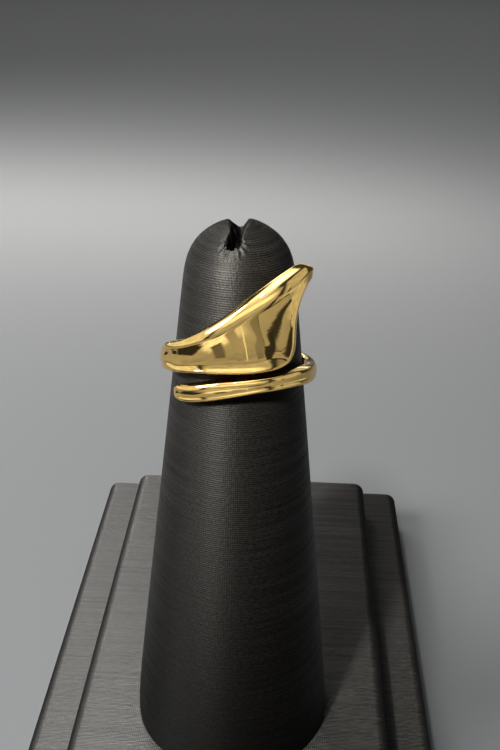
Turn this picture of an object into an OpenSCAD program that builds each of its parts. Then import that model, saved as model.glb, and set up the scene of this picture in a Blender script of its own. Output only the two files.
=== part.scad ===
// Wave ring worn on a padded cone stand.
// A single cast band wraps once and a quarter round the cone: a slim bar crosses the front below,
// and the other end climbs into a tall dished fin above it.

/* [Stand] */
// Width of the lower step
lower_w = 64; // [56:1:80]
// Depth of the lower step, front to back
lower_d = 106; // [90:1:130]
// Height of the lower step
lower_h = 8; // [5:0.5:14]
// How far the upper step stands in from the lower one on every side
step_inset = 8; // [4:0.5:12]
// Height of the upper step
upper_h = 7.5; // [5:0.5:12]
// Corner radius of both steps, seen from above
corner_r = 2; // [1:0.25:4]
// Rounding of both steps' top edges
edge_r = 1.5; // [0.5:0.25:2]

/* [Cone] */
// Distance from the cone's axis to the front of the lower step
cone_front = 32; // [26:1:45]
// Height of the cone above the upper step
cone_h = 78.5; // [76:0.5:84]
// Radius that the straight taper has at the foot
foot_r = 14.8; // [14.6:0.1:15]
// Loss of radius for each millimetre of height
taper = 0.109; // [0.107:0.001:0.111]
// How far the padding pulls in under the foot
foot_pull = 0.5; // [0:0.1:1]
// Height of the domed top
dome_h = 9.5; // [7:0.5:12]
// Width of the cleft between the two lips at the top
cleft_w = 3.4; // [2:0.1:4]
// Share of that width on the cleft's left side
cleft_left = 0.6; // [0.4:0.05:0.7]
// Depth of the cleft below the top
cleft_d = 2.6; // [1.5:0.1:4]
// Turn of the cleft from straight ahead
cleft_turn = 3; // [0:1:10]

/* [Ring] */
// Inside radius of the ring
bore_r = 8.85; // [8.8:0.05:9]
// Wall of the plain band round the back
band_t = 1.35; // [1.2:0.05:1.6]
// Height of the ring's middle above the upper step
ring_level = 60; // [60:0.5:61]
// How far the ring hangs to the right of the cone's axis
ring_shift = 0.1; // [0:0.05:0.1]
// Share of a dish's depth that its rims stand above the band
rim_rise = 0.45; // [0.3:0.05:0.6]
// Rounding of the plain band's outer edges
band_r = 0.65; // [0.4:0.05:0.65]
// Rounding of the rims beside a dish
rim_r = 0.45; // [0.3:0.05:0.6]
// Rounding of the inner edges
inner_r = 0.3; // [0.15:0.05:0.4]
// Sections between two rows of the table
steps_per_row = 4; // [2:1:5]

/* [Hidden] */
upper_w = lower_w - 2 * step_inset;
upper_d = lower_d - 2 * step_inset;
cone_y = -lower_d / 2 + cone_front;
stand_top = lower_h + upper_h;
$fn = 96;

// The ring's sections in order, from the bar's tip round the back to the fin's tip.
// Angles run round the cone from the front towards +X; heights count from the ring's middle.
// Columns: angle and height of the lower edge, angle and height of the upper edge, depth of the dish.
// Where the depth is negative, the face is crowned by that much instead.
LOW_A = 0;
LOW_Z = 1;
TOP_A = 2;
TOP_Z = 3;
DISH = 4;
bar_rows = [
    [-49,   -2.1,  -49,   -1.7,  0],
    [-46.5, -2.6,  -46.5, -1.15, 0],
    [-41,   -2.8,  -41,   -0.7,  0.05],
    [-30,   -2.5,  -30,    0.1,  0.35],
    [-15,   -1.75, -15,    1.05, 0.45],
    [5,     -0.85,  5,     1.65, 0.45],
    [25,    -0.6,   25,    1.75, 0.45],
    [45,    -0.85,  45,    1.9,  0.35],
    [62,    -1.4,   62,    1.6,  0.1]
];
band_rows = [
    [86,    -2.6,   86,   -0.1, -0.25],
    [115,   -4.0,   115,  -1.6, -0.3],
    [180,   -4.3,   180,  -1.9, -0.3],
    [240,   -3.2,   240,  -0.6, -0.3],
    [276,   -1.6,   276,   1.5, -0.25]
];
fin_rows = [
    [300,    0.1,   300,   3.25, 0],
    [315,    0.95,  315,   4.85, 0.45],
    [330,    1.7,   330,   6.5,  0.65],
    [345,    2.05,  345,   8.05, 0.8],
    [360,    2.15,  360,   9.95, 0.9],
    [374,    2.15,  374,  11.9,  0.9],
    [388,    2.25,  388,  13.4,  0.85],
    [399,    2.8,   398,  14.3,  0.8],
    [402.5,  4.2,   405,  14.7,  0.7],
    [403,    6.4,   410.5, 14.85, 0.6],
    [403.8,  8.5,   415,  14.8,  0.5],
    [408,   10.5,   418.5, 14.55, 0.35],
    [415.5, 12.2,   421,  14.15, 0.15],
    [420.5, 13.25,  422,  13.7,  0]
];
ring_rows = concat(bar_rows, band_rows, fin_rows);

// A smooth curve through four rows in turn, t from 0 to 1 between the two middle ones
function through(a, b, c, d, t) =
    b + t * (c - a) / 2
    + t * t * (a - 2.5 * b + 2 * c - d / 2)
    + t * t * t * (1.5 * (b - c) + (d - a) / 2);
function row(i) = ring_rows[max(0, min(len(ring_rows) - 1, i))];
sections = [
    for (i = [0:len(ring_rows) - 2], k = [0:steps_per_row - 1])
        through(row(i - 1), row(i), row(i + 1), row(i + 2), k / steps_per_row),
    row(len(ring_rows) - 1)
];

// Length of a section from its lower edge to its upper one, along the bore
function section_l(s) = norm([(s[TOP_A] - s[LOW_A]) * PI / 180 * bore_r, s[TOP_Z] - s[LOW_Z]]);
// Wall at a section's rims
function rim_t(s) = band_t + (s[DISH] > 0 ? rim_rise : 1) * s[DISH];
// Wall of a section, which thins towards the two tips
tip_t = 0.5;
function section_t(s) = min(rim_t(s), tip_t + section_l(s));

// Points along an arc, n steps
function arc(cx, cy, r, from, to, n) =
    [for (k = [0:n]) let (a = from + (to - from) * k / n) [cx + r * cos(a), cy + r * sin(a)]];

// Outline of a section: distance from its lower edge, and height above the bore
face_n = 8;
arc_n = 3;
full_dish = 0.4; // rims beside a dish of this depth or more have their own rounding
round_share = 0.45; // most of a section's length or wall that one rounding takes
function outer_r(s) = band_r + (rim_r - band_r) * min(1, max(0, s[DISH]) / full_dish);
function outline(s) = let (
        l = section_l(s),
        t = section_t(s),
        lift = (rim_t(s) - t) / 2,
        ro = min(outer_r(s), round_share * l, round_share * t),
        ri = min(inner_r, round_share * l, round_share * t)
    )
    [for (p = concat(
        arc(ro, t - ro, ro, 180, 90, arc_n),
        [for (k = [1:face_n - 1]) let (x = 2 * k / face_n - 1)
            [l / 2 + x * (l / 2 - ro), t - s[DISH] * (1 - x * x)]],
        arc(l - ro, t - ro, ro, 90, 0, arc_n),
        arc(l - ri, ri, ri, 0, -90, arc_n - 1),
        arc(ri, ri, ri, -90, -180, arc_n - 1)))
        [p[0], p[1] + lift]];
// A point of the outline, wrapped round the bore
function wrapped(s, p) = let (
        u = p[0] / section_l(s),
        a = s[LOW_A] + u * (s[TOP_A] - s[LOW_A]),
        r = bore_r + p[1]
    )
    [r * sin(a), -r * cos(a), s[LOW_Z] + u * (s[TOP_Z] - s[LOW_Z])];
// Mean of a loop's points, which closes its end
function middle(points) = [for (k = [0:2]) [for (p = points) p[k]] * [for (p = points) 1] / len(points)];

module ring() {
    loops = [for (s = sections) [for (p = outline(s)) wrapped(s, p)]];
    n = len(loops[0]);
    last = len(loops) - 1;
    points = concat([for (l = loops) each l], [middle(loops[0]), middle(loops[last])]);
    start = len(points) - 2;
    sides = [for (i = [0:last - 1], k = [0:n - 1]) let (m = (k + 1) % n)
        each [[i * n + k, i * n + m, (i + 1) * n + m], [i * n + k, (i + 1) * n + m, (i + 1) * n + k]]];
    ends = [for (k = [0:n - 1]) let (m = (k + 1) % n)
        each [[start, m, k], [start + 1, last * n + k, last * n + m]]];
    color("goldenrod")
        translate([ring_shift, cone_y, stand_top + ring_level])
            polyhedron(points, concat(sides, ends), convexity = 6);
}

// Radius of the cone's side at a height above the upper step
foot_fade = 3;
foot_heights = [0, 1.5, 3, 5, 8, 12];
function side_r(z) = foot_r - taper * z - foot_pull * exp(-z / foot_fade);
// Radius of the dome, u from 0 where it begins to 1 at the top
dome_n = 18;
dome_power = 4;
dome_fullness = 0.77;
function dome_r(u) =
    side_r(cone_h - dome_h + u * dome_h) * pow(max(0, 1 - pow(u, dome_power)), dome_fullness);
cone_profile = concat(
    [[0, 0]],
    [for (z = foot_heights) [side_r(z), z]],
    [for (k = [0:dome_n]) let (u = sin(90 * k / dome_n)) [dome_r(u), cone_h - dome_h + u * dome_h]]
);

// The cleft's sides, from its floor up to the lips
cleft_n = 6;
lip_power = 1.5;
cleft_slit = 0.4; // half width at the cleft's floor
function cleft_side(share) = [for (k = [0:cleft_n]) let (u = k / cleft_n)
    [cleft_slit + (cleft_w * share - cleft_slit) * pow(u, lip_power), cone_h - cleft_d * (1 - u)]];
function flipped(points) = [for (k = [len(points) - 1:-1:0]) [-points[k][0], points[k][1]]];

module cone() {
    color("#26282a")
        translate([0, cone_y, stand_top])
            difference() {
                rotate_extrude()
                    polygon(cone_profile);
                rotate([90, 0, -cleft_turn])
                    linear_extrude(height = 2 * foot_r, center = true)
                        polygon(concat(
                            cleft_side(1 - cleft_left),
                            [[cleft_w, cone_h + 1], [-cleft_w, cone_h + 1]],
                            flipped(cleft_side(cleft_left))));
            }
}

module rounded_plan(w, d, r) {
    union() {
        square([w - 2 * r, d], center = true);
        square([w, d - 2 * r], center = true);
        for (x = [-1, 1], y = [-1, 1])
            translate([x * (w / 2 - r), y * (d / 2 - r)])
                circle(r);
    }
}

// A slab's side view, square below and rounded at its two top corners
module rounded_top(w, h, r) {
    union() {
        translate([-w / 2, 0])
            square([w, h - r]);
        translate([-w / 2 + r, 0])
            square([w - 2 * r, h]);
        for (x = [-1, 1])
            translate([x * (w / 2 - r), h - r])
                circle(r);
    }
}

module slab(w, d, h) {
    intersection() {
        linear_extrude(height = h)
            rounded_plan(w, d, corner_r);
        rotate([90, 0, 0])
            linear_extrude(height = d, center = true)
                rounded_top(w, h, edge_r);
        rotate([90, 0, 90])
            linear_extrude(height = w, center = true)
                rounded_top(d, h, edge_r);
    }
}

module upper_step() {
    color("#232527")
        translate([0, 0, lower_h])
            slab(upper_w, upper_d, upper_h);
}

module lower_step() {
    color("#1c1e20")
        slab(lower_w, lower_d, lower_h);
}

ring();
cone();
upper_step();
lower_step();
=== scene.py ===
import math

import bmesh
import bpy
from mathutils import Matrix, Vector, kdtree, noise


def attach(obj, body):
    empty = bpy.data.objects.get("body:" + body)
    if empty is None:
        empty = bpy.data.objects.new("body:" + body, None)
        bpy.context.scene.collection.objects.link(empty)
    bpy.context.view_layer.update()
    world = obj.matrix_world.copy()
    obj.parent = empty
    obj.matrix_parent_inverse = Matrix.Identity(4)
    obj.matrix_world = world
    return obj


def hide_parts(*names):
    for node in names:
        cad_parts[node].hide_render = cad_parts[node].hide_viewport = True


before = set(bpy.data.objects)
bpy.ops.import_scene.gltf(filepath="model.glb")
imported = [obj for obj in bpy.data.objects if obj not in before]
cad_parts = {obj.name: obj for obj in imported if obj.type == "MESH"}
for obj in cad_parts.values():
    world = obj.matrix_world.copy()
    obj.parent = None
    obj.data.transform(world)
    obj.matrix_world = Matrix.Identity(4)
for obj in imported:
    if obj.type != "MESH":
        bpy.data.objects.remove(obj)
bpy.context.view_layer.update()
print("frame loaded:", ", ".join(sorted(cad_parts)))

# Everything is modelled in millimetres and brought down to metres by bringToPlace
mm = 0.001
coneAxis = (0.0, -21.0)
stepTop = 15.5


# Small helpers for working in edit mode

def deselectAll():
    if bpy.context.object and bpy.context.object.mode == "EDIT":
        bpy.ops.object.mode_set(mode="OBJECT")
    bpy.ops.object.select_all(action="DESELECT")


def newPiece(name):
    piece = bpy.context.object
    piece.name = name
    piece.data.name = name
    return piece


def startEdit(mode="VERT"):
    bpy.ops.object.mode_set(mode="EDIT")
    bpy.ops.mesh.select_mode(type=mode)


def pickPoints(piece, test):
    cage = bmesh.from_edit_mesh(piece.data)
    for f in cage.faces:
        f.select_set(False)
    for e in cage.edges:
        e.select_set(False)
    for v in cage.verts:
        v.select_set(bool(test(v.co)))
    cage.select_flush(True)
    bmesh.update_edit_mesh(piece.data, loop_triangles=False, destructive=False)


def pickEdges(piece, test):
    cage = bmesh.from_edit_mesh(piece.data)
    for v in cage.verts:
        v.select_set(False)
    for e in cage.edges:
        e.select_set(bool(test(*(v.co for v in e.verts))))
    cage.select_flush(False)
    bmesh.update_edit_mesh(piece.data, loop_triangles=False, destructive=False)


def addModifier(piece, kind, **settings):
    bpy.ops.object.modifier_add(type=kind)
    added = piece.modifiers[-1]
    for key, value in settings.items():
        setattr(added, key, value)
    bpy.ops.object.modifier_apply(modifier=added.name)


def subdivide(piece, levels):
    addModifier(piece, "SUBSURF", levels=levels, render_levels=levels)


def bringToPlace(piece, x=0.0, y=0.0, z=0.0):
    piece.location = (x * mm, y * mm, z * mm)
    piece.scale = (mm, mm, mm)
    bpy.ops.object.transform_apply(location=True, rotation=True, scale=True)


def finishPiece(piece, node, material):
    piece.data.materials.clear()
    piece.data.materials.append(material)
    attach(piece, "root")
    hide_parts(node)
    print(piece.name, "done:", len(piece.data.polygons), "faces")


# Materials

# Adds a node: values set its sockets or its own settings; links name a socket, or number it as _0, _1, _2
def nodeMaker(material):
    tree = material.node_tree
    def make(kind, values=None, **links):
        made = tree.nodes.new(kind)
        for key, value in (values or {}).items():
            if isinstance(key, int) or key in made.inputs:
                made.inputs[key].default_value = value
            else:
                setattr(made, key, value)
        for key, source in links.items():
            tree.links.new(source, made.inputs[key if key in made.inputs else int(key[1:])])
        return made
    return make


def startMaterial(name):
    material = bpy.data.materials.new(name)
    material.use_nodes = True
    return material, nodeMaker(material), material.node_tree.nodes["Principled BSDF"]


goldFinish = {
    "colour": (0.93, 0.635, 0.21, 1), "roughness": 0.045,
    "waveSize": 260, "waveDepth": 0.014, "shadow": 0.97,  # depths in millimetres
    "hairlineSize": 1700, "hairlineDepth": 0.0022,
}


def polishedGold():
    material, make, shader = startMaterial("polishedGold")
    place = make("ShaderNodeTexCoord").outputs["Object"]
    swell = make("ShaderNodeTexNoise", {"Scale": goldFinish["waveSize"], "Detail": 3, "Roughness": 0.3},
                 Vector=place)
    hair = make("ShaderNodeTexNoise", {"Scale": goldFinish["hairlineSize"], "Detail": 3}, Vector=place)
    low = make("ShaderNodeBump", {"Strength": 1.0, "Distance": goldFinish["waveDepth"] * mm},
               Height=swell.outputs["Fac"])
    fine = make("ShaderNodeBump", {"Strength": 1.0, "Distance": goldFinish["hairlineDepth"] * mm},
                Height=hair.outputs["Fac"], Normal=low.outputs["Normal"])
    tint = make("ShaderNodeValToRGB", Fac=swell.outputs["Fac"])
    tint.color_ramp.elements[0].color = [c * goldFinish["shadow"] for c in goldFinish["colour"][:3]] + [1]
    tint.color_ramp.elements[1].color = goldFinish["colour"]
    links = material.node_tree.links
    links.new(tint.outputs["Color"], shader.inputs["Base Color"])
    links.new(fine.outputs["Normal"], shader.inputs["Normal"])
    shader.inputs["Metallic"].default_value = 1.0
    shader.inputs["Roughness"].default_value = goldFinish["roughness"]
    return material


# Pitches and depths of the cloths in millimetres; streaks and flecks in repeats for each millimetre
coneCloth = {
    "name": "coneCloth", "dark": (0.0025, 0.0025, 0.0024), "light": (0.0185, 0.0179, 0.0166),
    "pitch": 0.29, "crossPitch": 0.33, "depth": 0.025,
    "streak": (0.05, 1.7), "fleck": (1.5, 3.4), "tint": (2.0, 3.55),
    "roughness": (0.42, 0.62), "specular": 0.3, "satin": 0.75,
}
stepCloth = {
    "name": "stepCloth", "dark": (0.005, 0.0048, 0.0045), "light": (0.04, 0.0378, 0.0345),
    "pitch": 0.27, "crossPitch": 0.3, "depth": 0.038,
    "streak": (0.03, 1.7), "fleck": (0.6, 4.0), "tint": (2.48, 3.0),
    "roughness": (0.28, 0.58), "specular": 0.5, "satin": 0.86,
}
# what both cloths share: how far the threads stray, and each layer's share of the height
weave = {"weftStray": 0.3, "warpStray": 0.5, "warp": 0.2, "streak": 2.2, "fleck": 2.0, "waves": 0.31416}


# Ribbed satin cloth: weft threads run along u, warp threads along v, both in millimetres
def ribbedCloth(look):
    material, make, shader = startMaterial(look["name"])
    links = material.node_tree.links
    place = make("ShaderNodeUVMap", {"uv_map": "cloth"}).outputs["UV"]

    def threads(direction, pitch, stray):
        return make("ShaderNodeTexWave", {
            "wave_type": "BANDS", "bands_direction": direction, "wave_profile": "SIN",
            "Scale": weave["waves"] / pitch, "Distortion": stray, "Detail": 2, "Detail Scale": 0.6},
            Vector=place).outputs["Fac"]

    def stretched(size, detail, roughness=0.5):
        mapped = make("ShaderNodeMapping", {"Scale": (size[0], size[1], 1)}, Vector=place)
        return make("ShaderNodeTexNoise", {"Scale": 1.0, "Detail": detail, "Roughness": roughness},
                    Vector=mapped.outputs["Vector"]).outputs["Fac"]

    weft = threads("Y", look["pitch"], weave["weftStray"])
    warp = threads("X", look["crossPitch"], weave["warpStray"])
    streak = stretched(look["streak"], 5, 0.62)
    fleck = stretched(look["fleck"], 2)
    height = weft
    for layer, share in ((warp, "warp"), (streak, "streak"), (fleck, "fleck")):
        height = make("ShaderNodeMath", {"operation": "MULTIPLY_ADD", 1: weave[share]}, _0=layer,
                      _2=height).outputs[0]
    bump = make("ShaderNodeBump", {"Strength": 1.0, "Distance": look["depth"] * mm}, Height=height)
    shade = make("ShaderNodeMapRange", {"From Min": look["tint"][0], "From Max": look["tint"][1]},
                 Value=height)
    tint = make("ShaderNodeValToRGB", Fac=shade.outputs["Result"])
    tint.color_ramp.elements[0].color = (*look["dark"], 1)
    tint.color_ramp.elements[1].color = (*look["light"], 1)
    gloss = make("ShaderNodeMapRange", {
        "From Min": 0.3, "From Max": 0.7, "To Min": look["roughness"][1], "To Max": look["roughness"][0]},
        Value=streak)
    # painted shade: the cloth is darker, and matt, where the cone's cleft is pressed in and over the steps'
    # rounded edges
    tuck = make("ShaderNodeAttribute", {"attribute_name": "tuck"}).outputs["Fac"]
    # painted shade: the cloth's colour is scaled down by the painted shade share
    unshaded = make("ShaderNodeMath", {"operation": "SUBTRACT", 0: 1.0}, _1=tuck)
    shaded = make("ShaderNodeVectorMath", {"operation": "SCALE"}, _0=tint.outputs["Color"],
                  Scale=unshaded.outputs[0])
    rough = make("ShaderNodeMath", {"operation": "MAXIMUM"}, _0=gloss.outputs["Result"], _1=tuck)
    links.new(shaded.outputs[0], shader.inputs["Base Color"])
    links.new(rough.outputs[0], shader.inputs["Roughness"])
    links.new(bump.outputs["Normal"], shader.inputs["Normal"])
    along = make("ShaderNodeTangent", {"direction_type": "UV_MAP", "uv_map": "cloth"})
    links.new(along.outputs["Tangent"], shader.inputs["Tangent"])
    shader.inputs["Specular IOR Level"].default_value = look["specular"]
    shader.inputs["Anisotropic"].default_value = look["satin"]  # the threads' round backs spread the gloss
    shader.inputs["Anisotropic Rotation"].default_value = 0.25
    return material


# The ring: a flat strip is laid out, dished and rolled over along its edges, and bent round the finger
castRing = {
    "boreR": 8.85, "wall": 1.42, "shift": 0.1, "middle": 60,
    "rimRise": 0.7,  # share of a dish's depth by which its rims stand above the band
    "tipWall": 0.4, "tipGrowth": 0.7,  # the wall where the strip is narrow, and what its width adds
    "blankX": -200, "edgeCut": 0.1, "levels": 3,  # the blank is laid out well away from the finished strip
    "lines": [0, 0.07, 0.25, 0.5, 0.75, 0.93, 1],  # across the strip, from its lower edge to its upper one
    # for the lower edge, the upper edge and the fin's right edge, which is the lower one from 400 degrees
    # on: where the dish begins as a share of the roll, and the length over which it deepens, in
    # millimetres and at most as a share of the strip
    "dishes": [(0.75, 0.88, 0.22), (0.8, 2.4, 0.26), (0.75, 0.8, 0.22)],
    "lowRoll": 0.6, "rightRoll": 1.05,  # how wide those edges roll over
    "rightFrom": 400, "rightBlend": 5, "edgeStep": 0.06,
    "rollShare": 0.4, "rollDepth": 0.42, "rollPower": 2.2,
    # the dishes' closed ends: angle, reach along the edges, how pointed, and how far to full depth
    "finEnd": (298.5, 4.5, 2.0, 0.45), "barEnd": (63, -3.4, 1.5, 0.5),
    "smoothing": 8, "keepEdge": 0.2,
    # angle and height of the lower edge, the same of the upper edge, depth of the dish, upper edge's roll
    "bar": [
        (-51.5, -2.45, -51.5, -2.2, 0, 0.2), (-50.4, -2.86, -50.4, -1.85, 0, 0.4),
        (-48.2, -3.12, -48.2, -1.42, 0.14, 0.6), (-45.2, -3.19, -45.2, -1.1, 0.3, 0.7),
        (-40.5, -3.12, -40.5, -0.82, 0.38, 0.8), (-30, -2.69, -30, -0.17, 0.4, 0.9),
        (-15, -1.77, -15, 0.82, 0.4, 0.95), (5, -0.76, 5, 1.46, 0.4, 0.95),
        (25, -0.42, 25, 1.58, 0.4, 0.9), (45, -0.7, 45, 1.5, 0.38, 0.8),
        (58, -1.3, 58, 1.1, 0.26, 0.75), (66, -1.74, 66, 0.79, 0.06, 0.75)],
    "band": [
        (86, -2.72, 86, -0.4, -0.25, 0.8), (115, -4.0, 115, -1.6, -0.3, 0.8),
        (147, -4.35, 147, -1.95, -0.3, 0.8), (180, -4.3, 180, -1.9, -0.3, 0.8),
        (210, -3.85, 210, -1.35, -0.3, 0.8), (240, -3.2, 240, -0.6, -0.3, 0.8),
        (258, -2.4, 258, 0.3, -0.3, 0.8), (276, -1.32, 276, 1.18, -0.25, 0.75)],
    "fin": [
        (287, -0.56, 287, 1.88, -0.12, 0.7), (291.5, -0.33, 291.5, 2.5, 0.03, 0.7),
        (296, -0.2, 295.5, 3.2, 0.38, 0.75), (302.5, 0.02, 301.5, 3.98, 0.5, 0.85),
        (310, 0.35, 308.5, 4.45, 0.54, 1.0), (319, 0.83, 317, 5.12, 0.56, 1.15),
        (331, 1.43, 328.5, 6.34, 0.56, 1.35), (346, 1.91, 342.5, 8.02, 0.6, 1.6),
        (361, 2.11, 355, 9.73, 0.62, 1.8), (375, 2.15, 366, 11.32, 0.63, 2.0),
        (387, 2.22, 376, 12.5, 0.62, 2.1), (396.2, 2.48, 384, 13.35, 0.6, 2.1),
        (403, 3.14, 390.5, 13.9, 0.56, 2.1), (405.4, 4.5, 396, 14.28, 0.52, 2.05),
        (405.5, 6.0, 401, 14.57, 0.46, 1.95), (405.3, 7.5, 405.5, 14.78, 0.4, 1.8),
        (406.4, 8.9, 409.8, 14.88, 0.32, 1.6), (408.6, 10.1, 413.4, 14.88, 0.24, 1.4),
        (412, 11.1, 416.4, 14.76, 0.16, 1.2), (415.8, 11.9, 419, 14.58, 0.08, 0.9),
        (420.2, 12.6, 421.2, 14.34, 0.03, 0.6), (423.2, 13.1, 423.2, 14.0, 0, 0.4),
        (424.6, 13.5, 424.6, 13.75, 0, 0.25)],
}


def stationOf(look, row):
    lowA, lowZ, topA, topZ = row[:4]
    arc = math.radians(1) * look["boreR"]
    return Vector((lowA * arc, lowZ)), Vector((topA * arc, topZ))


# Brings one row of the blank, three layers of points, to its width, wall, slope and place on the strip
def shapeStation(piece, look, x, row):
    low, top = stationOf(look, row)
    span, dish = top - low, row[4]
    long = span.length
    wall = look["wall"] + dish * (look["rimRise"] if dish > 0 else 1)
    thin = min(wall, look["tipWall"] + look["tipGrowth"] * long)
    last = len(look["lines"]) - 1
    cut = min(look["edgeCut"], 0.2 * long)
    for line, place in enumerate(look["lines"]):
        for layer in (2, 1, 0):
            y = (place - 0.5) * long
            if line in (0, last) and layer != 1:
                y -= math.copysign(cut, y)
            pickPoints(piece, lambda p: abs(p.x - x) < 0.3 and abs(p.y + last / 2 - line) < 0.1
                       and abs(p.z - layer) < 0.1)
            bpy.ops.transform.translate(value=(0, y - line + last / 2, thin * layer / 2 - layer))
    pickPoints(piece, lambda p: abs(p.x - x) < 0.3)
    bpy.ops.transform.rotate(value=math.atan2(span.x, span.y), orient_axis="Z", center_override=(x, 0, 0))
    middle = (low + top) / 2
    bpy.ops.transform.translate(value=(middle.x - x, middle.y, (wall - thin) / 2))


# Each edge of the strip as a smooth run of points: place, direction, roll, dish length and dish depth
def edgesOf(look, rows):
    corners = []
    for side in (0, 1):
        for row in (rows, rows[::-1])[side]:
            ends = stationOf(look, row)
            long = (ends[1] - ends[0]).length
            right = min(1, max(0, (row[0] - look["rightFrom"]) / look["rightBlend"] + 0.5))
            roll = row[5] if side else look["lowRoll"] + right * (look["rightRoll"] - look["lowRoll"])
            start, deepens, most = look["dishes"][side]
            roll = min(roll, look["rollShare"] * long)
            corners.append((ends[side], roll, min(deepens, most * long), row[4]))
    count = len(corners)
    split = max(n for n, row in enumerate(rows) if row[0] < look["rightFrom"]) - 1
    edges = ([], [], [])
    for n in range(count):
        four = [corners[(n + k) % count] for k in range(4)]
        cuts = max(4, math.ceil((four[2][0] - four[1][0]).length / look["edgeStep"]))
        for k in range(cuts):
            t = k / cuts
            weights = ((1 - t) ** 3 / 6, (3 * t ** 3 - 6 * t * t + 4) / 6,
                       (1 + 3 * t + 3 * t * t - 3 * t ** 3) / 6, t ** 3 / 6)
            slopes = (-(1 - t) ** 2 / 2, (3 * t * t - 4 * t) / 2, (1 + 2 * t - 3 * t * t) / 2, t * t / 2)
            place, along = (sum((w * c[0] for w, c in zip(blend, four)), Vector((0, 0)))
                            for blend in (weights, slopes))
            values = [sum(w * c[i] for w, c in zip(weights, four)) for i in (1, 2, 3)]
            at = (n + 1 + t) % count
            side = 1 if count / 2 - 0.5 < at < count - 0.5 else 2 if split < at <= count / 2 - 0.5 else 0
            edges[side].append((place, along.normalized(), *values))
    return edges


# Distance of a point from an edge, with the edge's values there
def nearestTo(edge, tree, v):
    n = tree.find((v.co.x, v.co.y, 0))[1]
    place, along, roll, deepens, depth = edge[n]
    away = v.co.xy - place
    return abs(away.cross(along)) if 0 < n < len(edge) - 1 else away.length, roll, deepens, depth


# Dishes or crowns the strip's outer face and rolls it over along its edges
def shapeFace(piece, look, rows):
    edges = edgesOf(look, rows)
    arc = math.radians(1) * look["boreR"]
    trees = []
    for edge in edges:
        tree = kdtree.KDTree(len(edge))
        for n, point in enumerate(edge):
            tree.insert((*point[0], 0), n)
        tree.balance()
        trees.append(tree)
    for v in piece.data.vertices:
        if v.co.z < 0.01:
            continue
        found = [nearestTo(*pair, v) for pair in zip(edges, trees)]
        low, top = min(found[0], found[2]), found[1]
        depth = (low[3] + top[3]) / 2
        across = abs(low[0] - top[0]) / (low[0] + top[0])
        inner = 1
        if depth > 0:
            angle, reach, point, width = look["finEnd" if v.co.x > 180 * arc else "barEnd"]
            inner = (v.co.x - angle * arc - reach * across ** point) * math.copysign(1, reach)
            drop = depth * (1 - math.exp(-max(0, inner) / width))
            for (distance, roll, deepens, deep), (start, most, part) in zip(found, look["dishes"]):
                deepens = min(most, deepens)
                drop *= 1 - math.exp(-max(0, distance - start * roll) / deepens)
                inner = min(inner, distance - start * roll)
        else:
            drop = depth * (1 - across ** 2)
        for distance, roll, deepens, deep in (low, top):
            drop += look["rollDepth"] * roll * max(0, 1 - distance / roll) ** look["rollPower"]
        v.co.z -= drop * min(1, v.co.z / look["wall"])
        v.select = inner > look["keepEdge"]
    piece.data.polygons.foreach_set("select", [False] * len(piece.data.polygons))


def makeRing(look):
    rows = look["bar"] + look["band"] + look["fin"]
    count, lines = len(rows) - 1, len(look["lines"]) - 1
    deselectAll()
    bpy.ops.mesh.primitive_grid_add(x_subdivisions=count, y_subdivisions=lines, size=2)
    piece = newPiece("ring_cast")
    startEdit()
    bpy.ops.mesh.select_all(action="SELECT")
    bpy.ops.transform.resize(value=(count / 2, lines / 2, 1))
    bpy.ops.transform.translate(value=(look["blankX"] + count / 2, 0, 0))
    for layer in (1, 2):
        bpy.ops.mesh.extrude_region_move(TRANSFORM_OT_translate={"value": (0, 0, 1)})
    for n, row in enumerate(rows):
        shapeStation(piece, look, look["blankX"] + n, row)
    bpy.ops.mesh.select_all(action="SELECT")
    bpy.ops.mesh.normals_make_consistent(inside=False)
    bpy.ops.mesh.select_all(action="DESELECT")
    bpy.ops.object.mode_set(mode="OBJECT")
    subdivide(piece, look["levels"])
    shapeFace(piece, look, rows)
    startEdit()
    bpy.ops.mesh.vertices_smooth(factor=0.5, repeat=look["smoothing"], xaxis=False, yaxis=False, zaxis=True)
    bpy.ops.mesh.select_all(action="SELECT")
    bpy.ops.transform.rotate(value=-math.pi / 2, orient_axis="X", center_override=(0, 0, 0))
    bpy.ops.object.mode_set(mode="OBJECT")
    across = [v.co.x for v in piece.data.vertices]
    addModifier(piece, "SIMPLE_DEFORM", deform_method="BEND", deform_axis="Z",
                angle=(max(across) - min(across)) / look["boreR"])
    bringToPlace(piece, look["shift"], coneAxis[1] - look["boreR"], stepTop + look["middle"])
    bpy.ops.object.shade_smooth()
    return piece


# The cone: a ring of points is drawn up row by row, then the cleft is worked into its dome
paddedCone = {
    "sides": 112, "footR": 14.8, "taper": 0.109, "footPull": 0.5, "footFade": 3.0,
    "height": 78.5, "dome": 9.5, "domeRows": 26, "domePower": 4, "domeFullness": 0.77,
    "sideRows": (0.5, 1.2, 2.2, 4, 7, 12, 18, 25, 32, 39, 46, 53, 59, 64, 67), "levels": 2,
    "threadR": 12.0, "fill": 0.9,
}


def sideR(look, z):
    return look["footR"] - look["taper"] * z - look["footPull"] * math.exp(-z / look["footFade"])


def domeR(look, u):
    z = look["height"] - look["dome"] * (1 - u)
    return sideR(look, z) * max(0.0, 1 - u ** look["domePower"]) ** look["domeFullness"]


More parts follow.
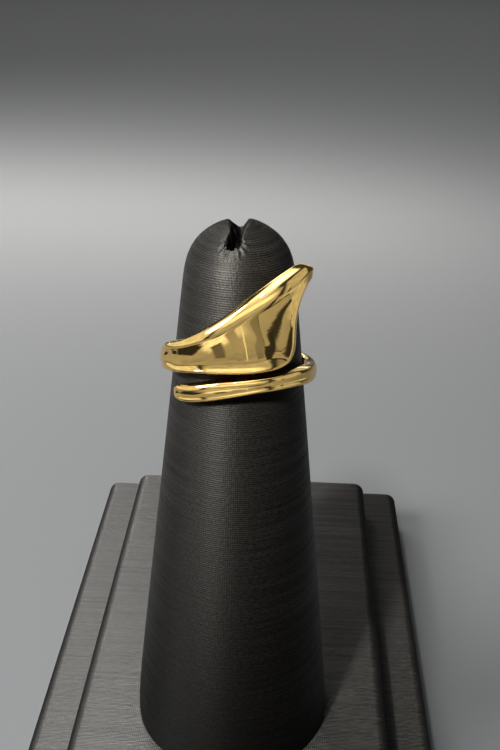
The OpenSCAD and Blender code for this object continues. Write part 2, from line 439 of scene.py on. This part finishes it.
# The cleft along y, from its front end to its back: its middle line, its reach to the left and to the
# right of that line, its depth, and its section, from 0 for a plain vee to 1 for a steep pit
cleft = {
    "y": (-5.1, -4.7, -4.25, -3.4, -2.5, -1.2, 0.4, 2.0, 3.6, 5.2, 6.4),
    "middle": (-0.5, -0.5, -0.5, -0.4, -0.1, 0.1, 0.12, 0.0, -0.1, -0.2, -0.25),
    "left": (0.9, 1.15, 1.15, 0.95, 0.95, 1.35, 1.55, 1.5, 1.4, 1.2, 0.9),
    "right": (0.8, 1.05, 1.05, 0.8, 0.7, 0.85, 0.95, 0.95, 0.9, 0.9, 0.8),
    "depth": (0.0, 0.7, 2.5, 3.4, 3.6, 3.2, 2.8, 2.0, 1.3, 0.3, 0.0),
    "open": (1.0, 1.0, 1.0, 0.9, 0.45, 0.05, 0.0, 0.0, 0.0, 0.0, 0.0),
    "lip": 0.16, "blunt": 0.55, "wallEnd": 0.86, "wallPower": 7, "reach": (6, 1.2),
    # folds fan out round a point in front, within a ring: its place, its radius and half its width
    "pleats": 13, "pleatDepth": 0.16, "pleatTurn": 0.9, "fan": (-0.5, -4.1), "fanR": 1.2, "fanWidth": 0.8,
    "fanBack": 0.4,
    "ridge": 1.9, "ridgeAt": (-0.24, -4.5), "ridgeSize": (0.15, 0.8),  # one fold that stands up in the pit
    "stray": 1.7, "strayTurn": 1.2, "strayWidth": 0.08, "rippleWidth": 0.2,  # how the folds wander
    # painted shade in the cleft: its strongest share, and the drop at which it starts and over which it grows
    "shade": 0.9, "shadeFrom": 0.25, "shadeOver": 0.9,
}


def between(look, key, y):
    ys, values = look["y"], look[key]
    if y <= ys[0]:
        return values[0]
    for n in range(len(ys) - 1):
        if y <= ys[n + 1]:
            t = (y - ys[n]) / (ys[n + 1] - ys[n])
            t = t * t * (3 - 2 * t)
            return values[n] + t * (values[n + 1] - values[n])
    return values[-1]


def pressCleft(piece, look, top):
    tuck = piece.data.attributes.new("tuck", "FLOAT", "POINT")
    for v in piece.data.vertices:
        x, y, z = v.co
        if z < top - look["reach"][0] or y < look["y"][0] - look["reach"][1]:
            continue
        wander = noise.noise(Vector((x, y, z)) * look["stray"])
        side = x - between(look, "middle", y)
        half = between(look, "left" if side < 0 else "right", y)
        off = Vector((x, y)) - Vector(look["fan"])
        turn = math.atan2(off.x, -off.y)
        front = max(0.0, 1 - abs(off.length - look["fanR"]) / look["fanWidth"])
        if off.y > look["fanBack"]:
            front = 0.0
        ripple = math.cos(look["pleats"] * turn + look["pleatTurn"] + look["strayTurn"] * wander)
        # u runs from 0 on the middle line to 1 at either lip
        u = abs(side) / half + look["rippleWidth"] * ripple * front + look["strayWidth"] * wander
        vee = (math.sqrt((1 - u) ** 2 + look["lip"] ** 2) + 1 - u) / 2
        pit = math.exp(-max(0.0, u / look["wallEnd"]) ** look["wallPower"])
        openness = between(look, "open", y)
        press = vee + openness * (pit - vee)
        drop = between(look, "depth", y - look["blunt"] * min(1.0, u) ** 2) * press
        (ridgeX, ridgeY), (wide, long) = look["ridgeAt"], look["ridgeSize"]
        ridge = look["ridge"] * math.exp(-((x - ridgeX - look["strayWidth"] * wander) / wide) ** 2)
        drop -= min(ridge * math.exp(-((y - ridgeY) / long) ** 2), drop * 0.7)
        drop -= look["pleatDepth"] * ripple * front * (1 - press)
        v.co.z -= drop
        # painted shade: the cloth's colour darkens with how deep it is pressed into the cleft
        shadeShare = max(0.0, drop - look["shadeFrom"]) / look["shadeOver"]
        tuck.data[v.index].value = look["shade"] * min(1.0, shadeShare)


def clothUv(piece, placeOf):
    layer = piece.data.uv_layers.get("cloth") or piece.data.uv_layers.new(name="cloth")
    points = piece.data.vertices
    for face in piece.data.polygons:
        for loop in face.loop_indices:
            layer.data[loop].uv = placeOf(points[piece.data.loops[loop].vertex_index].co, face)
    piece.data.uv_layers.active = layer


def makeCone(look):
    rows = [(sideR(look, z), z) for z in look["sideRows"]]
    for n in range(look["domeRows"] - 1):
        u = math.sin(math.pi / 2 * n / look["domeRows"])
        rows.append((domeR(look, u), look["height"] - look["dome"] * (1 - u)))
    deselectAll()
    bpy.ops.mesh.primitive_circle_add(vertices=look["sides"], radius=sideR(look, 0), fill_type="NOTHING")
    piece = newPiece("cone_padded")
    startEdit()
    bpy.ops.mesh.select_all(action="SELECT")
    r, height = sideR(look, 0), 0.0
    for nextR, z in rows:
        bpy.ops.mesh.extrude_edges_move(TRANSFORM_OT_translate={"value": (0, 0, z - height)})
        bpy.ops.transform.resize(value=(nextR / r, nextR / r, 1), center_override=(0, 0, z))
        r, height = nextR, z
    bpy.ops.mesh.extrude_edges_move(TRANSFORM_OT_translate={"value": (0, 0, look["height"] - height)})
    bpy.ops.mesh.merge(type="CENTER")
    pickPoints(piece, lambda p: p.z < 0.01)
    for share in (0.97, 0.5):
        bpy.ops.mesh.extrude_edges_move()
        bpy.ops.transform.resize(value=(share, share, 1), center_override=(0, 0, 0))
    bpy.ops.mesh.extrude_edges_move()
    bpy.ops.mesh.merge(type="CENTER")
    bpy.ops.mesh.select_all(action="SELECT")
    bpy.ops.mesh.normals_make_consistent(inside=False)
    bpy.ops.object.mode_set(mode="OBJECT")
    subdivide(piece, look["levels"])

    # the cloth is marked out before the cleft is pressed in, so that its threads follow the folds
    side = [(sideR(look, z), z) for z in range(0, int(look["height"] - look["dome"]) + 1)]
    side += [(domeR(look, k / 40), look["height"] - look["dome"] * (1 - k / 40)) for k in range(1, 41)]
    along = [0.0]
    for n in range(1, len(side)):
        along.append(along[-1] + math.dist(side[n - 1], side[n]))

    def marked(p, face):
        middle = math.atan2(face.center.x, -face.center.y)
        turn = math.atan2(p.x, -p.y) if math.hypot(p.x, p.y) > 1e-4 else middle
        if turn - middle > math.pi:
            turn -= 2 * math.pi
        if middle - turn > math.pi:
            turn += 2 * math.pi
        for n in range(1, len(side)):
            if p.z <= side[n][1] or n == len(side) - 1:
                t = (p.z - side[n - 1][1]) / (side[n][1] - side[n - 1][1])
                return turn * look["threadR"], along[n - 1] + t * (along[n] - along[n - 1])

    clothUv(piece, marked)
    pressCleft(piece, cleft, look["height"])
    bringToPlace(piece, coneAxis[0], coneAxis[1], stepTop)
    bpy.ops.object.shade_smooth()
    return piece


# The steps: two boards with the cloth drawn tight over their edges
lowerStep = {
    "name": "step_lower", "size": (64, 106, 8), "bottom": 0,
    # edgeShade and shadePower: painted shade over the rounded top edges, its strongest share and how it grows
    "corner": 2.0, "edge": 1.7, "edgeShade": 0.85, "shadePower": 0.7,
}
upperStep = {
    "name": "step_upper", "size": (48, 90, 7.5), "bottom": 8,
    # edgeShade and shadePower: painted shade over the rounded top edges, its strongest share and how it grows
    "corner": 2.0, "edge": 1.7, "edgeShade": 0.85, "shadePower": 0.7,
}


def makeStep(look):
    width, depth, height = look["size"]
    deselectAll()
    bpy.ops.mesh.primitive_cube_add(size=1)
    piece = newPiece(look["name"])
    startEdit("EDGE")
    bpy.ops.mesh.select_all(action="SELECT")
    bpy.ops.transform.resize(value=(width, depth, height))
    bpy.ops.transform.translate(value=(0, 0, height / 2))
    pickEdges(piece, lambda a, b: abs(a.z - b.z) > 1)
    bpy.ops.mesh.bevel(offset=look["corner"], segments=6, profile=0.5)
    pickEdges(piece, lambda a, b: min(a.z, b.z) > height - 0.01)
    bpy.ops.mesh.bevel(offset=look["edge"], segments=5, profile=0.5)
    bpy.ops.object.mode_set(mode="OBJECT")
    half = width / 2, depth / 2

    def marked(p, face):
        n = face.normal
        if n.z > 0.5 or n.z < -0.5:
            return p.x, p.y
        if abs(n.x) > abs(n.y):
            return math.copysign(half[0] + height - p.z, p.x), p.y
        return p.x, math.copysign(half[1] + height - p.z, p.y)

    clothUv(piece, marked)
    # painted shade: the cloth darkens across the rounded top edges and is fully darkened down the sides
    tuck = piece.data.attributes.new("tuck", "FLOAT", "POINT")
    for v in piece.data.vertices:
        out = 1 + max(abs(v.co.x) - half[0], abs(v.co.y) - half[1]) / look["edge"]
        tuck.data[v.index].value = look["edgeShade"] * min(1.0, max(0.0, out)) ** look["shadePower"]
    bringToPlace(piece, z=look["bottom"])
    bpy.ops.object.shade_smooth_by_angle(angle=math.radians(40))
    return piece


gold = polishedGold()
coneSatin = ribbedCloth(coneCloth)
stepSatin = ribbedCloth(stepCloth)
print("finishes ready:", ", ".join(finish.name for finish in (gold, coneSatin, stepSatin)))

ring = makeRing(castRing)
finishPiece(ring, "ring", gold)
cone = makeCone(paddedCone)
finishPiece(cone, "cone", coneSatin)
steps = [makeStep(look) for look in (upperStep, lowerStep)]
for step, node in zip(steps, ("upper_step", "lower_step")):
    finishPiece(step, node, stepSatin)


# Studio: camera, floor, lights and the cards that the gold mirrors
# Angles run from the front to the right, then comes the elevation; distances and sizes are in metres
studio = {
    "camera": (0.005951, -0.138369, 0.130835), "cameraTurn": (63.6155, -1.2069, 2.7191), "lens": 48,
    "floorSize": 8, "floorColour": (0.585, 0.59, 0.595, 1),
    "air": (0.50, 0.52, 0.55, 1), "airStrength": 0.09,
    "aim": (0.0, -0.025, 0.075),
    # name, angle, elevation, distance, size, watts
    "lights": [
        ("keyLight", -16.5, 46, 0.5, 0.04, 0.45),
        ("windowBox", -66, 30, 0.5, 0.3, 1.33),
        ("backBox", -150, 40, 0.5, 0.25, 0.38)],
    # name, place, width and depth, watts
    "washes": [
        ("backWash", (-0.16, 0.28, 0.13), (0.5, 0.04), 0.22),
        ("farWash", (0, 0.95, 0.5), (1.2, 0.8), 0.5)],
    "warm": (1.0, 0.94, 0.85), "mild": (1.0, 0.985, 0.94),
    # lamps for one kind of piece only, to bring out its satin: angle, elevation, distance, size, watts
    "coneLamp": (-31, 40, 0.5, 0.04, 49), "coneBeam": 17.4, "coneAim": (0.0, -0.021, 0.122),
    "stepLamp": (-152, 42, 0.5, 0.2, 1.6), "sideLamp": (-25, 46, 0.5, 0.03, 4.6),
    # name, angle, elevation, distance, width, height, soft share of its edge, glow
    "cards": [
        ("roofCard", -30, 80, 0.7, 1.4, 1.2, 0.8, 3.9),
        ("haloCard", -25, 42, 0.85, 1.9, 0.55, 0.6, 1.1),
        ("beadCard", -8, 19, 0.8, 1.8, 0.28, 0.6, 1.45),
        ("leftCard", -95, 6, 0.8, 1.3, 0.9, 0.2, 0.9),
        ("backCard", 165, 14, 0.9, 1.4, 0.5, 0.3, 0.6),
        ("roomCard", -5, 10, 0.9, 2.1, 1.0, 0.25, 0.52),
        ("rightCard", 78, 12, 0.9, 1.0, 0.9, 0.3, 0.55),
        ("tallFlag", 65, -9, 0.4, 0.045, 0.19, 0.3, 0.03)],
    # soft sheets on the floor for the gold to mirror: name, middle, size, soft share, glow
    "sheets": [
        ("frontSheet", 0.35, -0.45, 2.1, 0.96, 0.2, 0.39),
        ("brightPatch", -0.02, -0.1, 0.13, 0.075, 0.7, 1.3),
        ("rightPatch", 0.24, -0.06, 0.16, 0.3, 0.3, 0.6),
        ("leftPatch", -0.08, -0.05, 0.072, 0.078, 0.3, 0.03),
        ("smallPatch", -0.094, -0.006, 0.03, 0.022, 0.3, 0.03)],
    # strips over them, from the stand outwards: start, heading, length, widths, glow
    "strips": [
        ((0.176, -0.055), -42, 0.125, 0.014, 0.019, 0.03),
        ((0.098, -0.126), 40, 1.0, 0.036, 0.19, 0.03),
        ((0.2, -0.13), -63, 0.09, 0.007, 0.007, 0.03),
        ((0.066, -0.1), 18, 0.12, 0.003, 0.005, 0.05),
        ((0.055, -0.112), 30, 0.3, 0.02, 0.06, 0.22),
        ((0.024, -0.105), 13, 0.3, 0.003, 0.01, 0.85),
        ((0.004, -0.1), 5, 0.3, 0.022, 0.05, 0.34),
        ((-0.033, -0.105), -20, 0.1, 0.03, 0.05, 0.14)],
    # the glow's clouds: size, how far they bend an edge, and how far they dim and brighten
    "cloudSize": 7, "cloudBend": 0.16, "cloudGlow": (0.72, 1.28),
    "sheetHeight": 0.001, "stripHeight": 0.002, "lift": 0.0002,
}


def placeAround(angle, elevation, distance):
    flat = distance * math.cos(math.radians(elevation))
    a = math.radians(angle)
    return Vector(studio["aim"]) + Vector((
        flat * math.sin(a), -flat * math.cos(a), distance * math.sin(math.radians(elevation))))


def aimed(place, aim="aim"):
    return (Vector(studio[aim]) - place).to_track_quat("-Z", "Y").to_euler()


def floorMaterial():
    material, make, shader = startMaterial("floorPaper")
    shader.inputs["Base Color"].default_value = studio["floorColour"]
    shader.inputs["Specular IOR Level"].default_value = 0.0
    shader.inputs["Roughness"].default_value = 0.6
    return material


# A cloudy glow with soft edges; with no soft share the mesh's own fade says where it ends
def glowMaterial(name, strength, soft):
    material = bpy.data.materials.new(name)
    material.use_nodes = True
    make, links = nodeMaker(material), material.node_tree.links
    material.node_tree.nodes.remove(material.node_tree.nodes["Principled BSDF"])
    place = make("ShaderNodeTexCoord").outputs["Object"]
    cloud = make("ShaderNodeTexNoise", {"Scale": studio["cloudSize"], "Detail": 3, "Roughness": 0.6},
                 Vector=place)
    if soft is None:
        mask = make("ShaderNodeAttribute", {"attribute_name": "fade"}).outputs["Fac"]
    else:
        bend = studio["cloudBend"]
        uneven = make("ShaderNodeVectorMath", {"operation": "MULTIPLY_ADD", 1: (bend, bend, 0)},
                      _0=cloud.outputs["Color"], _2=place)
        axes = make("ShaderNodeSeparateXYZ", Vector=uneven.outputs[0])
        sides = []
        for axis in ("X", "Y"):
            shifted = make("ShaderNodeMath", {"operation": "SUBTRACT", 1: bend / 2}, _0=axes.outputs[axis])
            out = make("ShaderNodeMath", {"operation": "ABSOLUTE"}, _0=shifted.outputs[0])
            sides.append(make("ShaderNodeMapRange", {
                "interpolation_type": "SMOOTHSTEP", "From Min": 0.5, "From Max": 0.499 - 0.5 * soft},
                Value=out.outputs[0]).outputs["Result"])
        mask = make("ShaderNodeMath", {"operation": "MULTIPLY"}, _0=sides[0], _1=sides[1]).outputs[0]
    dim, bright = (strength * share for share in studio["cloudGlow"])
    level = make("ShaderNodeMapRange", {"From Min": 0.3, "From Max": 0.7, "To Min": dim, "To Max": bright},
                 Value=cloud.outputs["Fac"])
    glow = make("ShaderNodeEmission", Strength=level.outputs[0])
    clear = make("ShaderNodeBsdfTransparent")
    mix = make("ShaderNodeMixShader", _0=mask, _1=clear.outputs[0], _2=glow.outputs[0])
    links.new(mix.outputs[0], material.node_tree.nodes["Material Output"].inputs["Surface"])
    return material


# What a lamp or a card lights, and nothing else
def onlyFor(*pieces):
    group = bpy.data.collections.new("lit_" + pieces[0].name)
    for piece in pieces:
        group.objects.link(piece)
    return group


def addLamp(name, kind, where, watts, turn=(0, 0, 0), lights=None, **settings):
    bpy.ops.object.light_add(type=kind, location=where, rotation=turn)
    lamp = bpy.context.object
    lamp.name = name
    lamp.data.energy = watts
    for key, value in settings.items():
        setattr(lamp.data, key, value)
    if lights:
        lamp.light_linking.receiver_collection = lights


# A card is there for the gold to mirror: it lights nothing else and isn't seen itself
def makeCard(card, glow, soft):
    card.light_linking.receiver_collection = goldOnly
    card.data.materials.append(glowMaterial(card.name, glow, soft))
    card.visible_camera = card.visible_diffuse = card.visible_shadow = False
    card.visible_transmission = card.visible_volume_scatter = False


goldOnly = onlyFor(ring)
deselectAll()
bpy.ops.mesh.primitive_plane_add(size=studio["floorSize"])
floor = newPiece("floor")
floor.data.materials.append(floorMaterial())

for name, angle, elevation, distance, size, watts in studio["lights"]:
    where = placeAround(angle, elevation, distance)
    addLamp(name, "AREA", where, watts, aimed(where), shape="DISK", size=size,
            lights=onlyFor(ring, *steps, floor) if name == "keyLight" else None)

for name, where, (width, depth), watts in studio["washes"]:
    addLamp(name, "AREA", where, watts, shape="RECTANGLE", size=width, size_y=depth, color=studio["mild"])

angle, elevation, distance, size, watts = studio["coneLamp"]
where = placeAround(angle, elevation, distance)
addLamp("coneLamp", "SPOT", where, watts, aimed(where, "coneAim"), lights=onlyFor(cone),
        spot_size=math.radians(studio["coneBeam"]), spot_blend=1, shadow_soft_size=size, color=studio["warm"])

for name in ("stepLamp", "sideLamp"):
    angle, elevation, distance, size, watts = studio[name]
    where = placeAround(angle, elevation, distance)
    addLamp(name, "AREA", where, watts, aimed(where), size=size, color=studio["mild"], lights=onlyFor(*steps))

for name, angle, elevation, distance, width, height, soft, glow in studio["cards"]:
    where = placeAround(angle, elevation, distance)
    bpy.ops.mesh.primitive_plane_add(size=1, location=where, rotation=aimed(where))
    card = newPiece(name)
    card.scale = (width, height, 1)
    makeCard(card, glow, soft)

for n, (name, x, y, width, depth, soft, glow) in enumerate(studio["sheets"]):
    bpy.ops.mesh.primitive_plane_add(size=1, location=(x, y, studio["sheetHeight"] + studio["lift"] * n))
    sheet = newPiece(name)
    sheet.scale = (width, depth, 1)
    makeCard(sheet, glow, soft)

# a strip is three faces side by side, and its glow fades out over the two outer ones
for n, (start, heading, length, nearWidth, farWidth, glow) in enumerate(studio["strips"]):
    a = math.radians(heading)
    ahead, across = Vector((math.sin(a), -math.cos(a), 0)), Vector((math.cos(a), math.sin(a), 0))
    corners = [ahead * far * length + across * side * wide / 2
               for far, wide in ((0, nearWidth), (1, farWidth)) for side in (-1.2, -0.7, 0.7, 1.2)]
    outline = bpy.data.meshes.new("strip%d" % n)
    outline.from_pydata(corners, [], [(k, k + 1, k + 5, k + 4) for k in range(3)])
    fade = outline.attributes.new("fade", "FLOAT", "POINT")
    for k in range(8):
        fade.data[k].value = k % 4 in (1, 2)
    strip = bpy.data.objects.new(outline.name, outline)
    strip.location = (*start, studio["stripHeight"] + studio["lift"] * n)
    bpy.context.scene.collection.objects.link(strip)
    makeCard(strip, glow, None)

world = bpy.data.worlds.new("studioAir")
world.use_nodes = True
world.node_tree.nodes["Background"].inputs["Color"].default_value = studio["air"]
world.node_tree.nodes["Background"].inputs["Strength"].default_value = studio["airStrength"]
bpy.context.scene.world = world

bpy.ops.object.camera_add(
    location=studio["camera"], rotation=[math.radians(a) for a in studio["cameraTurn"]])
viewer = bpy.context.object
viewer.data.lens = studio["lens"]
viewer.data.sensor_width = 36
viewer.data.clip_start = 0.005
bpy.context.scene.camera = viewer
bpy.context.scene.view_settings.view_transform = "Standard"
print("studio ready")
